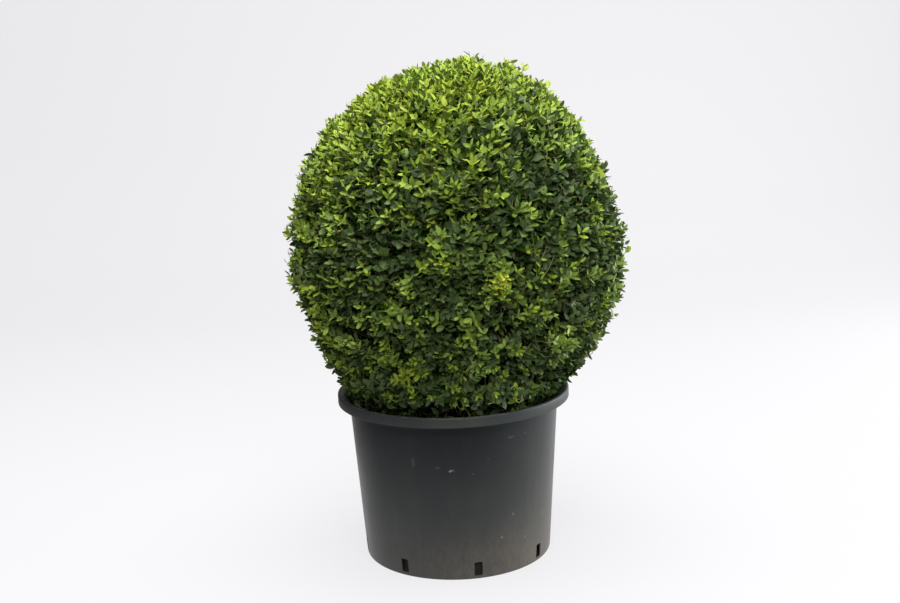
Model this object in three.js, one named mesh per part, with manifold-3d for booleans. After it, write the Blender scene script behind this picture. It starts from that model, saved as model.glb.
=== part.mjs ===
// A clipped box shrub, grown as a ball, in its black plastic nursery pot.
// Millimetres, +Z up. The origin is the middle of the pot's flat underside.
// Angles round the pot are counted from the front (-Y) towards +X.
import * as THREE from "three";
import { mergeVertices } from "three/addons/utils/BufferGeometryUtils.js";
import Module from "manifold-3d";

const wasm = await Module();
wasm.setup();

// Driving dimensions
const GAP = 0.3; // between solids that touch in life

// pot
const POT_HEIGHT = 360;
const FOOT_RADIUS = 202; // outside of the wall at the ground
const NECK_RADIUS = 225; // outside of the wall just under the rim
const RIM_RADIUS = 249.5;
const BAND_HEIGHT = 21; // the rim's upright outer face, with its rounded crest
const WALL = 3;
const BASE = 4;
const CREST_ROUND = 4;
const CREST_TURN = 130; // degrees of the crest's arc, from the band's face round to the inside
const SWING_START = 342; // height where the wall begins to swing out to the rim
const SWING_BEND = 355; // height that it makes for before it levels out
const SWING_LEAN = 3;
const SWING_STEPS = 3;
const FOOT_ROUND = 2.5;
const POT_SIDES = 60;
const SLOT_COUNT = 8;
const SLOT_TURN = 11; // degrees from the front to the nearest drainage slot
const SLOT_WIDTH = 17;
const SLOT_HEIGHT = 30;
const SLOT_SILL = 7; // from the ground to the slot

// compost
const COMPOST_TOP = 325;

// stem
const STEM_TOP = 452;
const STEM_FOOT_RADIUS = 23; // the trunk itself, without its root flare
const STEM_TIP_RADIUS = 17;
const FLARE = 15; // how far the roots swell out at the compost
const FLARE_HEIGHT = 30;
const FLARE_LOBES = 5;
const FLARE_DEPTH = 0.16; // of the lobes, as a share of the radius
const STEM_OVAL = 0.05;
const STEM_RINGS = 9;
const RING_CROWDING = 1.4; // over 1, the rings lie closer at the flare
const STEM_SIDES = 16;

// ball of foliage
const BALL_X = 18; // the ball sits a little to the right of the pot's middle
const BALL_Z = 660;
const BALL_RADIUS = 352;
const BALL_HALF_HEIGHT = 391;
const CORE_SHARE = 0.915; // the dense inside, as a share of the ball
const CORE_LOW = 0.05; // added under the ball, where it is pressed into the pot's mouth
const CORE_DETAIL = 5;
const CORE_FLOOR = 348; // flat cut under the core, over the compost
const POCKET_RADIUS = 46; // bare room round the stem under the core
const POCKET_TOP_RADIUS = 28;
const POCKET_TOP = 486;
const POCKET_SIDES = 16;
const FOLIAGE_CLEAR = 3; // least way from a leaf to the compost or the pot

// Where the shears left the ball fuller or flatter than a true ellipsoid:
// azimuth from +X towards +Y and elevation in degrees, width in degrees, height in millimetres.
const LOBES = [
  { azimuth: 0, elevation: 69, width: 17, rise: 11 },
  { azimuth: 180, elevation: 73, width: 15, rise: -8 },
  { azimuth: 0, elevation: 33, width: 18, rise: -9 },
  { azimuth: 180, elevation: -32, width: 20, rise: -16 },
  { azimuth: -20, elevation: -48, width: 20, rise: -19 },
  { azimuth: 205, elevation: 20, width: 22, rise: 5 },
  { azimuth: 75, elevation: 30, width: 24, rise: 6 },
  { azimuth: 120, elevation: -12, width: 22, rise: -7 },
  { azimuth: 40, elevation: -20, width: 24, rise: 5 },
];

// The foliage is fuller all round where it spills over the pot's rim.
const SKIRT = { elevation: -52, width: 10, rise: 9 };

// shoots and leaves
const SEED = 41;
const LIMBS = 36; // main limbs from the stem, spread evenly
const SHOOTS = 100; // that fork off the limbs, and whose tips are spread evenly over the ball
const LIMB_RADIUS = 6;
const SHOOT_RADIUS = 4.2;
const SHOOT_TIP_RADIUS = 3;
const FORK_SHARE = 0.6; // where a limb forks, as a share of the ball
const TIP_SHORT = 15; // how far a shoot's tip stays under the clipped surface, at least
const TIP_VARY = 8;
const TIP_WANDER = 0.06; // sideways, as a share of the ball
const NODE_SPACING = 9; // between one pair of leaves and the next
const NODE_PAIRS = 2;
const LEAF_LENGTH = 74;
const LEAF_WIDTH = 44;
const LEAF_THICKNESS = 2.6;
const LEAF_BROADEST = 0.45; // of the way to its tip
const LEAF_FOLD = 0.12; // rise of its edges, as a share of its width
const LEAF_DROOP = 0.06; // fall of its tip, as a share of its length
const LEAF_LEAST = 0.85; // the smallest leaf, as a share of the largest
const LEAF_SPLAY = 56; // degrees between a leaf and its shoot, at least
const SPLAY_VARY = 12;
const SPLAY_STEP = 8;
const SPLAY_TRIES = 5;
const PAIR_TWIST = 0.25; // radians that a leaf may stray from its pair's line
const CLIPPED = 1.004; // share of the ball that a leaf's tip may reach

const Z_AXIS = new THREE.Vector3(0, 0, 1);
const CENTRE = new THREE.Vector3(BALL_X, 0, BALL_Z);

// A repeatable source of numbers from 0 to 1.
let state = SEED;
function random() {
  state = (state * 1664525 + 1013904223) % 4294967296;
  return state / 4294967296;
}

function between(low, high) {
  return low + (high - low) * random();
}

// Solids

function solid(geometry) {
  const bare = geometry.clone();
  bare.deleteAttribute("normal");
  bare.deleteAttribute("uv");
  const merged = mergeVertices(bare, 1e-3);
  return new wasm.Manifold(
    new wasm.Mesh({
      numProp: 3,
      vertProperties: new Float32Array(merged.attributes.position.array),
      triVerts: new Uint32Array(merged.index.array),
    }),
  );
}

function geometryOf(made) {
  const mesh = made.getMesh();
  const geometry = new THREE.BufferGeometry();
  geometry.setAttribute("position", new THREE.BufferAttribute(mesh.vertProperties, mesh.numProp));
  geometry.setIndex(new THREE.BufferAttribute(mesh.triVerts, 1));
  geometry.computeVertexNormals();
  return geometry;
}

// Joins neighbours first, so that each join stays small.
function joined(solids) {
  let row = solids;
  while (row.length > 1) {
    const next = [];
    for (let i = 0; i < row.length; i += 2) {
      next.push(i + 1 < row.length ? row[i].add(row[i + 1]) : row[i]);
    }
    row = next;
  }
  return row[0];
}

function largest(made) {
  return made.decompose().reduce((a, b) => (b.volume() > a.volume() ? b : a));
}

// Turns a profile of [radius, height] points round +Z. It runs up the outside and down the inside.
function turned(profile, sides) {
  const points = profile.map(([r, z]) => new THREE.Vector2(r, z));
  return new THREE.LatheGeometry(points, sides).rotateX(Math.PI / 2);
}

// Points on an arc round [r, z], from one angle to another, both in degrees.
function arc(r, z, radius, from, to, steps) {
  return Array.from({ length: steps + 1 }, (_, i) => {
    const angle = THREE.MathUtils.degToRad(from + ((to - from) * i) / steps);
    return [r + radius * Math.cos(angle), z + radius * Math.sin(angle)];
  });
}

// Pot

const BAND_FOOT = POT_HEIGHT - BAND_HEIGHT;

function wallOutside(z) {
  return THREE.MathUtils.mapLinear(z, 0, BAND_FOOT, FOOT_RADIUS, NECK_RADIUS);
}

function wallInside(z) {
  return wallOutside(z) - WALL;
}

// The swing of the wall out to the rim, along its inside (0) or its outside (WALL), up to a point.
function swing(thickness, [endRadius, endHeight]) {
  const start = new THREE.Vector2(wallInside(SWING_START) + thickness, SWING_START);
  const bend = new THREE.Vector2(start.x + SWING_LEAN, SWING_BEND - thickness);
  const curve = new THREE.QuadraticBezierCurve(start, bend, new THREE.Vector2(endRadius, endHeight));
  return curve.getPoints(SWING_STEPS).map(({ x, y }) => [x, y]);
}

// The wall swings out, rolls over at the crest and comes down as an upright band.
function potProfile() {
  const crest = RIM_RADIUS - CREST_ROUND;
  const crestZ = POT_HEIGHT - CREST_ROUND;
  const under = arc(crest, crestZ, CREST_ROUND - WALL, CREST_TURN, 0, 2);
  const over = arc(crest, crestZ, CREST_ROUND, 0, CREST_TURN, 4);
  return [
    [0, 0],
    ...arc(FOOT_RADIUS - FOOT_ROUND, FOOT_ROUND, FOOT_ROUND, -90, 0, 2),
    ...swing(WALL, under.shift()),
    ...under,
    [RIM_RADIUS - WALL, BAND_FOOT],
    [RIM_RADIUS, BAND_FOOT],
    ...over.slice(0, -1),
    ...swing(0, over.at(-1)).reverse(),
    [wallInside(BASE), BASE],
    [0, BASE],
  ];
}

function slotCutter(index) {
  const angle = THREE.MathUtils.degToRad(SLOT_TURN + (index * 360) / SLOT_COUNT);
  const through = WALL * 8;
  return new THREE.BoxGeometry(SLOT_WIDTH, through, SLOT_HEIGHT)
    .translate(0, -FOOT_RADIUS, SLOT_SILL + SLOT_HEIGHT / 2)
    .rotateZ(angle);
}

function pot() {
  let shell = solid(turned(potProfile(), POT_SIDES));
  for (let i = 0; i < SLOT_COUNT; i += 1) {
    shell = shell.subtract(solid(slotCutter(i)));
  }
  return geometryOf(shell);
}

// Compost: it fills the pot to just under the rim.

function compost() {
  const floor = BASE + GAP;
  return turned(
    [
      [0, floor],
      [wallInside(floor) - GAP, floor],
      [wallInside(COMPOST_TOP) - GAP, COMPOST_TOP],
      [0, COMPOST_TOP],
    ],
    POT_SIDES,
  );
}

// Stem: a short trunk that leans towards the ball's middle, with a lobed root flare.

const STEM_FOOT = COMPOST_TOP + GAP;

function leanAt(z) {
  return (BALL_X * (z - STEM_FOOT)) / (BALL_Z - STEM_FOOT);
}

function stemRadius(z) {
  const taper = THREE.MathUtils.mapLinear(z, STEM_FOOT, STEM_TOP, STEM_FOOT_RADIUS, STEM_TIP_RADIUS);
  return taper + FLARE * Math.max(0, 1 - (z - STEM_FOOT) / FLARE_HEIGHT) ** 2;
}

function stem() {
  const heights = Array.from({ length: STEM_RINGS + 1 }, (_, i) => {
    return STEM_FOOT + (STEM_TOP - STEM_FOOT) * (i / STEM_RINGS) ** RING_CROWDING;
  });
  const profile = [[0, STEM_FOOT], ...heights.map((z) => [stemRadius(z), z]), [0, STEM_TOP]];
  const geometry = turned(profile, STEM_SIDES);
  const at = geometry.attributes.position;
  for (let i = 0; i < at.count; i += 1) {
    const angle = Math.atan2(at.getY(i), at.getX(i));
    const flare = Math.max(0, 1 - (at.getZ(i) - STEM_FOOT) / FLARE_HEIGHT);
    const lobes = FLARE_DEPTH * flare * Math.cos(FLARE_LOBES * angle);
    const wide = 1 + lobes + STEM_OVAL * Math.cos(2 * angle + 1);
    at.setX(i, at.getX(i) * wide + leanAt(at.getZ(i)));
    at.setY(i, at.getY(i) * wide);
  }
  return geometry;
}

// Ball

function lobeDirection({ azimuth, elevation }) {
  return new THREE.Vector3(1, 0, 0)
    .applyAxisAngle(new THREE.Vector3(0, -1, 0), THREE.MathUtils.degToRad(elevation))
    .applyAxisAngle(Z_AXIS, THREE.MathUtils.degToRad(azimuth));
}

const LOBE_DIRECTIONS = LOBES.map(lobeDirection);

function swell(off, { width, rise }) {
  return rise * Math.exp(-((THREE.MathUtils.radToDeg(off) / width) ** 2));
}

// How far the clipped surface lies from the ball's middle in a direction.
function reach(direction) {
  const flat = Math.hypot(direction.x, direction.y);
  const plain = 1 / Math.hypot(flat / BALL_RADIUS, direction.z / BALL_HALF_HEIGHT);
  const lobes = LOBES.reduce((sum, lobe, i) => {
    return sum + swell(direction.angleTo(LOBE_DIRECTIONS[i]), lobe);
  }, 0);
  const over = Math.asin(direction.z) - THREE.MathUtils.degToRad(SKIRT.elevation);
  return plain + lobes + swell(over, SKIRT);
}

function share(point) {
  const out = point.clone().sub(CENTRE);
  const length = out.length();
  return length / reach(out.divideScalar(length));
}

// True where foliage may be: inside the clipped surface, over the compost and clear of the pot.
function hasRoom(point, most = 1) {
  if (share(point) > most || point.z < COMPOST_TOP + FOLIAGE_CLEAR) {
    return false;
  }
  const round = Math.hypot(point.x, point.y);
  if (point.z > POT_HEIGHT + FOLIAGE_CLEAR || round > RIM_RADIUS + FOLIAGE_CLEAR) {
    return true;
  }
  return round < wallInside(Math.min(point.z, BAND_FOOT)) - FOLIAGE_CLEAR;
}

// The dense inside of the ball, open round the stem.
function core() {
  const geometry = new THREE.IcosahedronGeometry(1, CORE_DETAIL);
  const at = geometry.attributes.position;
  const direction = new THREE.Vector3();
  for (let i = 0; i < at.count; i += 1) {
    direction.fromBufferAttribute(at, i).normalize();
    const part = CORE_SHARE + CORE_LOW * Math.max(0, -direction.z) ** 2;
    const out = onBall(direction, part);
    at.setXYZ(i, out.x, out.y, out.z);
  }
  const under = new THREE.BoxGeometry(4 * BALL_RADIUS, 4 * BALL_RADIUS, CORE_FLOOR);
  under.translate(0, 0, CORE_FLOOR / 2);
  const depth = POCKET_TOP - STEM_FOOT;
  const pocket = new THREE.CylinderGeometry(POCKET_TOP_RADIUS, POCKET_RADIUS, depth, POCKET_SIDES);
  pocket.rotateX(Math.PI / 2).translate(leanAt(STEM_TOP), 0, STEM_FOOT + depth / 2);
  return solid(geometry).subtract(solid(under)).subtract(solid(pocket));
}

// Foliage: one stem stands on the trunk, limbs go out from it to all sides inside the core,
// and each forks into shoots that come out of the core and carry leaves in pairs.

// Carries geometry that grows along +Y from its root to a place, a direction and a face side.
function grown(geometry, root, direction, face) {
  const side = new THREE.Vector3().crossVectors(direction, face).normalize();
  const front = new THREE.Vector3().crossVectors(side, direction);
  const basis = new THREE.Matrix4().makeBasis(side, direction, front).setPosition(root);
  return geometry.applyMatrix4(basis);
}

function across(direction, turn) {
  const start = Math.abs(direction.z) < 0.9 ? Z_AXIS : new THREE.Vector3(1, 0, 0);
  return new THREE.Vector3().crossVectors(direction, start).normalize().applyAxisAngle(direction, turn);
}

// A three-sided twig that tapers from its root to its tip.
function twig(root, tip, rootRadius, tipRadius) {
  const direction = tip.clone().sub(root).normalize();
  const length = tip.distanceTo(root);
  const rod = new THREE.CylinderGeometry(tipRadius, rootRadius, length, 3).translate(0, length / 2, 0);
  return solid(grown(rod, root, direction, across(direction, between(0, Math.PI))));
}

// A leaf of eight faces, folded up a little along its middle, broadest below the half.
function leafGeometry(length, width) {
  const geometry = new THREE.OctahedronGeometry(1);
  const at = geometry.attributes.position;
  for (let i = 0; i < at.count; i += 1) {
    const [x, y, z] = [at.getX(i), at.getY(i), at.getZ(i)];
    const along = Math.abs(y) > 0.5 ? (1 + y) / 2 : LEAF_BROADEST;
    const lift = Math.abs(x) * width * LEAF_FOLD - along * along * length * LEAF_DROOP;
    at.setXYZ(i, (x * width) / 2, along * length, (z * LEAF_THICKNESS) / 2 + lift);
  }
  return geometry;
}

// True where each corner of a blade, and the middle of each edge, has room.
function bladeHasRoom(blade) {
  const at = blade.attributes.position;
  return Array.from({ length: at.count }, (_, i) => i).every((i) => {
    const corner = new THREE.Vector3().fromBufferAttribute(at, i);
    const next = new THREE.Vector3().fromBufferAttribute(at, i % 3 === 2 ? i - 2 : i + 1);
    return hasRoom(corner, CLIPPED) && hasRoom(corner.lerp(next, 0.5), CLIPPED);
  });
}

// Tries a leaf at ever wider angles to its shoot, and gives nothing where none has room.
function leaf(node, shoot, out) {
  const size = between(LEAF_LEAST, 1);
  const splay = LEAF_SPLAY + between(0, SPLAY_VARY);
  for (let turn = 0; turn < SPLAY_TRIES; turn += 1) {
    const angle = THREE.MathUtils.degToRad(splay + turn * SPLAY_STEP);
    const direction = shoot.clone().multiplyScalar(Math.cos(angle)).addScaledVector(out, Math.sin(angle));
    const root = node.clone().addScaledVector(direction, -SHOOT_TIP_RADIUS / 3);
    const blade = grown(leafGeometry(LEAF_LENGTH * size, LEAF_WIDTH * size), root, direction, shoot);
    if (bladeHasRoom(blade)) {
      return [solid(blade)];
    }
  }
  return [];
}

// Pairs of leaves down a shoot, each turned a quarter from the one above.
function leaves(tip, direction) {
  const made = [];
  const turn = between(0, Math.PI);
  for (let pair = 0; pair < NODE_PAIRS; pair += 1) {
    const node = tip.clone().addScaledVector(direction, -pair * NODE_SPACING - SHOOT_TIP_RADIUS);
    for (let side = 0; side < 2; side += 1) {
      const twist = between(-PAIR_TWIST, PAIR_TWIST);
      const out = across(direction, turn + (pair / 2 + side) * Math.PI + twist);
      made.push(...leaf(node, direction, out));
    }
  }
  return made;
}

// Directions spread evenly over a sphere by the golden angle.
function evenly(count) {
  const golden = Math.PI * (3 - Math.sqrt(5));
  return Array.from({ length: count }, (_, i) => {
    const height = 1 - (2 * i + 1) / count;
    const flat = Math.sqrt(1 - height * height);
    return new THREE.Vector3(flat * Math.cos(golden * i), flat * Math.sin(golden * i), height);
  });
}

function wandered(direction, most) {
  const off = new THREE.Vector3(between(-most, most), between(-most, most), between(-most, most));
  return direction.clone().add(off).normalize();
}

function nearest(direction, others) {
  return others.reduce((a, b) => (b.dot(direction) > a.dot(direction) ? b : a));
}

function onBall(direction, part, short = 0) {
  return CENTRE.clone().addScaledVector(direction, reach(direction) * part - short);
}

// The foliage's own stem, which stands on the trunk and goes up into the core.
function upperStem(foot, neck) {
  const height = neck.z - foot.z;
  const rod = new THREE.CylinderGeometry(STEM_TIP_RADIUS, STEM_TIP_RADIUS, height, STEM_SIDES);
  return rod.rotateX(Math.PI / 2).translate(foot.x, 0, foot.z + height / 2);
}

function foliage() {
  const foot = new THREE.Vector3(leanAt(STEM_TOP), 0, STEM_TOP + GAP);
  const neck = new THREE.Vector3(foot.x, 0, POCKET_TOP + STEM_TIP_RADIUS);
  const pieces = [core(), solid(upperStem(foot, neck))];
  const limbs = evenly(LIMBS).filter((limb) => onBall(limb, FORK_SHARE).z > neck.z);
  for (const limb of limbs) {
    pieces.push(twig(neck, onBall(limb, FORK_SHARE), LIMB_RADIUS, SHOOT_RADIUS));
  }
  for (const outward of evenly(SHOOTS)) {
    const way = wandered(outward, TIP_WANDER);
    const tip = onBall(way, 1, TIP_SHORT + between(0, TIP_VARY));
    if (hasRoom(tip)) {
      const fork = onBall(nearest(way, limbs), FORK_SHARE);
      const direction = tip.clone().sub(fork).normalize();
      pieces.push(twig(fork, tip, SHOOT_RADIUS, SHOOT_TIP_RADIUS), ...leaves(tip, direction));
    }
  }
  return geometryOf(largest(joined(pieces)));
}

const plant = new THREE.Group();

function piece(name, geometry, color, roughness) {
  const material = new THREE.MeshStandardMaterial({ color, roughness, metalness: 0 });
  const mesh = new THREE.Mesh(geometry, material);
  mesh.name = name;
  plant.add(mesh);
}

piece("pot", pot(), 0x2e3032, 0.55);
piece("compost", compost(), 0x241c15, 0.95);
piece("stem", stem(), 0x6f6350, 0.9);
piece("foliage", foliage(), 0x4b6b25, 0.6);

export default plant;
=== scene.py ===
# A ball of clipped box in its nursery pot: the looks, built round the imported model.
import math

import bmesh
import bpy
import numpy as np
from mathutils import Matrix, Vector, noise


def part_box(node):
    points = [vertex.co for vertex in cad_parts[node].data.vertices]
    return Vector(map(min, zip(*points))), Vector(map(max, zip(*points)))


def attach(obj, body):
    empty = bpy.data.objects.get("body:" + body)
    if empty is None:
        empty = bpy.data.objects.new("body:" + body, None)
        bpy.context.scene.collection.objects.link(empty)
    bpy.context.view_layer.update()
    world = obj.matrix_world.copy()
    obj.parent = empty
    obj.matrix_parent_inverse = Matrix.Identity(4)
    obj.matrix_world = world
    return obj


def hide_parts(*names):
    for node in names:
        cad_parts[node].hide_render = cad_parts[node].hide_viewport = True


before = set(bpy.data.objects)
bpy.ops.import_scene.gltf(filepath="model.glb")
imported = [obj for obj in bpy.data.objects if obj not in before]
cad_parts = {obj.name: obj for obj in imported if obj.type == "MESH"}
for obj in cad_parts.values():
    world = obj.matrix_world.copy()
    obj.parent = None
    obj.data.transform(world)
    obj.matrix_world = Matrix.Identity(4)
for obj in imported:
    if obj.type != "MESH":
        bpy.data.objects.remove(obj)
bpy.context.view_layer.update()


# Small helpers

def unit(rows):
    return rows / np.linalg.norm(rows, axis=-1, keepdims=True)


def dot(a, b):
    return np.sum(a * b, axis=-1, keepdims=True)


def addObject(name, data):
    thing = bpy.data.objects.new(name, data)
    bpy.context.scene.collection.objects.link(thing)
    return thing


def pieceFrom(mesh, material, node):
    piece = addObject(mesh.name, mesh)
    mesh.materials.clear()
    mesh.materials.append(material)
    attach(piece, "root")
    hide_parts(node)
    return piece


def meshFromBmesh(name, bm, smooth=True):
    bmesh.ops.recalc_face_normals(bm, faces=bm.faces)
    mesh = bpy.data.meshes.new(name)
    bm.to_mesh(mesh)
    bm.free()
    mesh.polygons.foreach_set("use_smooth", [smooth] * len(mesh.polygons))
    return mesh


def meshFromCopies(name, points, template):
    # Many copies of a template's triangles in one mesh, each with its own row of points.
    count, each = points.shape[:2]
    triangles = template + (np.arange(count) * each)[:, None, None]
    faces = triangles.size // 3
    mesh = bpy.data.meshes.new(name)
    mesh.vertices.add(count * each)
    mesh.vertices.foreach_set("co", points.astype(np.float32).ravel())
    mesh.loops.add(triangles.size)
    mesh.loops.foreach_set("vertex_index", triangles.astype(np.int32).ravel())
    mesh.polygons.add(faces)
    mesh.polygons.foreach_set("loop_start", np.arange(0, triangles.size, 3, dtype=np.int32))
    mesh.update(calc_edges=True)
    mesh.polygons.foreach_set("use_smooth", np.full(faces, True))
    return mesh


def spun(profile, steps):
    # A closed round shape from an outline of radius and height.
    bm = bmesh.new()
    points = [bm.verts.new((r, 0, z)) for r, z in profile]
    edges = [bm.edges.new(pair) for pair in zip(points, points[1:])]
    bmesh.ops.spin(bm, geom=points + edges, cent=(0, 0, 0), axis=(0, 0, 1), angle=2 * math.pi,
                   steps=steps, use_merge=True)
    bmesh.ops.remove_doubles(bm, verts=bm.verts, dist=1e-6)
    return bm


# Shader helpers

def feed(tree, socket, value):
    # Another node's output is linked to the socket, and a constant is set on it, a colour as opaque.
    if isinstance(value, bpy.types.NodeSocket):
        tree.links.new(value, socket)
    else:
        socket.default_value = (*value, 1) if socket.type == "RGBA" else value


def fill(tree, node, **values):
    for key, value in values.items():
        feed(tree, node.inputs[key.replace("_", " ")], value)


def addNode(tree, kind, settings=None, **values):
    node = tree.nodes.new("ShaderNode" + kind)
    for key, value in (settings or {}).items():
        setattr(node, key, value)
    fill(tree, node, **values)
    return node


def mapRange(tree, value, low, high, toLow=0.0, toHigh=1.0, kind="SMOOTHSTEP"):
    node = addNode(tree, "MapRange", {"interpolation_type": kind}, Value=value,
                   From_Min=low, From_Max=high, To_Min=toLow, To_Max=toHigh)
    return node.outputs["Result"]


def outOf(tree, kind, out, values, **settings):
    # One output of a new node whose inputs go by their places.
    node = addNode(tree, kind, settings)
    for place, value in values.items():
        feed(tree, node.inputs[place], value)
    return node.outputs[out]


def mixValue(tree, share, first, second):
    return outOf(tree, "Mix", 0, {0: share, 2: first, 3: second})


def mixColour(tree, share, first, second, blend="MIX"):
    return outOf(tree, "Mix", 2, {0: share, 6: first, 7: second}, data_type="RGBA", blend_type=blend)


def maths(tree, operation, first, *others):
    for other in others:
        first = outOf(tree, "Math", 0, {0: first, 1: other}, operation=operation)
    return first


def newMaterial(name):
    material = bpy.data.materials.new(name)
    material.use_nodes = True
    tree = material.node_tree
    return material, tree, tree.nodes["Principled BSDF"]


def bumpInto(tree, shader, height, strength, distance):
    bump = addNode(tree, "Bump", Height=height, Strength=strength, Distance=distance)
    fill(tree, shader, Normal=bump.outputs["Normal"])


def coverWith(tree, shader, base, strength, distance):
    fill(tree, shader, Base_Color=base.outputs["Color"], Roughness=base.outputs["Roughness"])
    bumpInto(tree, shader, base.outputs["Height"], strength, distance)


def newGroup(name, **inputs):
    # A node group that gives a colour, a roughness and a height.
    group = bpy.data.node_groups.new(name, "ShaderNodeTree")
    outputs = {"Color": "Color", "Roughness": "Float", "Height": "Float"}
    for way, sockets in (("INPUT", inputs), ("OUTPUT", outputs)):
        for label, kind in sockets.items():
            group.interface.new_socket(label, in_out=way, socket_type="NodeSocket" + kind)
    return group, group.nodes.new("NodeGroupInput"), group.nodes.new("NodeGroupOutput")


def speckleGroup():
    # Two colours mixed by a noise at one scale, with a height and a roughness that follow it.
    group, start, end = newGroup("speckle", First="Color", Second="Color", Scale="Float", Low="Float",
                                 High="Float", Smooth="Float", Rough="Float")
    given = start.outputs
    place = addNode(group, "TexCoord").outputs["Object"]
    grain = addNode(group, "TexNoise", Vector=place, Scale=given["Scale"], Detail=4.0, Roughness=0.55)
    share = mapRange(group, grain.outputs["Fac"], given["Low"], given["High"])
    fill(group, end, Color=mixColour(group, share, given["First"], given["Second"]),
         Roughness=mixValue(group, share, given["Smooth"], given["Rough"]), Height=grain.outputs["Fac"])
    return group


def leafGroup():
    # One leaf lighter or darker than the next, small blotches, and a paler rib along the middle.
    group, start, end = newGroup("leafShade", Upper="Color", Rib="Color", Spread="Float",
                                 Smooth="Float", Rough="Float")
    given = start.outputs
    place = addNode(group, "TexCoord").outputs["Object"]
    blotch = addNode(group, "TexNoise", Vector=place, Scale=170.0, Detail=2.0).outputs["Fac"]
    tone = addNode(group, "Attribute", {"attribute_name": "leafTone"}).outputs["Fac"]
    rib = addNode(group, "Attribute", {"attribute_name": "leafRib"}).outputs["Fac"]
    uneven = maths(group, "SUBTRACT", maths(group, "ADD", tone, blotch), 1.0)
    factor = maths(group, "ADD", maths(group, "MULTIPLY", uneven, given["Spread"]), 1.0)
    bright = outOf(group, "VectorMath", "Vector", {0: given["Upper"], "Scale": factor}, operation="SCALE")
    line = maths(group, "MULTIPLY", maths(group, "POWER", rib, 7.0), 0.45)
    fill(group, end, Color=mixColour(group, line, bright, given["Rib"]),
         Roughness=mixValue(group, tone, given["Smooth"], given["Rough"]),
         Height=maths(group, "SUBTRACT", blotch, maths(group, "MULTIPLY", line, 1.5)))
    return group


speckle = speckleGroup()
leafShade = leafGroup()


# Camera and light

shot = {
    "back": 2.524,  # in front of the pot's axis
    "height": 1.026,
    "pitch": 10.76,  # degrees down
    "roll": 2.11,
    "lens": 48.0,
}


def makeCamera():
    data = bpy.data.cameras.new("viewCamera")
    data.lens = shot["lens"]
    data.sensor_width = 36
    data.clip_end = 60
    camera = addObject("viewCamera", data)
    pitch = Matrix.Rotation(math.radians(90 - shot["pitch"]), 4, "X")
    roll = Matrix.Rotation(math.radians(-shot["roll"]), 4, "Z")
    camera.matrix_world = Matrix.Translation((0, -shot["back"], shot["height"])) @ pitch @ roll
    bpy.context.scene.camera = camera


studio = {
    "paper": (0.15, 0.148, 0.15),
    "paperGlow": (0.735, 0.727, 0.743),  # evens out the backdrop and keeps the shadow faint
    "glowFalls": (("Y", -1.1, -0.5), ("X", -1.25, -0.4)),  # it lights the plant less from the front and left
    "leastGlow": 0.04,
    "floorHalf": 12,
    "sweep": [(-12, 0), (2.6, 0), (3.1, 0.08), (3.45, 0.3), (3.62, 0.7), (3.66, 1.2), (3.66, 7)],
    "roomSeen": (0.85, 0.84, 0.86),
    "roomFelt": (0.97, 0.98, 1),
    "roomLight": (0.03, 0.75),  # from the dark side of the room and from its bright side
    "brightSide": (0.7, 0.3, 0.6),
    "lights": [  # name, place, aim, size, power, colour
        ("topSoft", (-0.1, -0.25, 3.0), (0, 0, 0.6), (2.2, 2.2), 102.0, (1, 0.99, 0.96)),
        ("frontSoft", (0.1, -2.5, 2.1), (0, 0, 0.6), (2.4, 0.8), 42.0, (1, 1, 1)),
        ("rightSoft", (3.1, 0.7, 0.65), (0, 0, 0.4), (2.6, 1.3), 97.0, (1, 1, 1)),
    ],
}


def areaLight(name, place, aim, size, power, colour):
    data = bpy.data.lights.new(name, "AREA")
    data.shape = "RECTANGLE"
    data.size, data.size_y = size
    data.energy = power
    data.color = colour
    light = addObject(name, data)
    light.location = place
    light.rotation_mode = "QUATERNION"
    light.rotation_quaternion = (Vector(aim) - Vector(place)).to_track_quat("-Z", "Y")


def paperMaterial():
    material, tree, shader = newMaterial("palePaper")
    place = addNode(tree, "TexCoord").outputs["Object"]
    parts = addNode(tree, "SeparateXYZ", Vector=place).outputs
    falls = [mapRange(tree, parts[axis], dark, bright, studio["leastGlow"], 1.0, "LINEAR")
             for axis, dark, bright in studio["glowFalls"]]
    ray = addNode(tree, "LightPath").outputs["Is Camera Ray"]
    seen = maths(tree, "MAXIMUM", maths(tree, "MULTIPLY", *falls), ray)
    fill(tree, shader, Roughness=1, Specular_IOR_Level=0, Emission_Strength=seen,
         Emission_Color=studio["paperGlow"],
         Base_Color=mixColour(tree, seen, (0, 0, 0), studio["paper"]))
    return material


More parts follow.
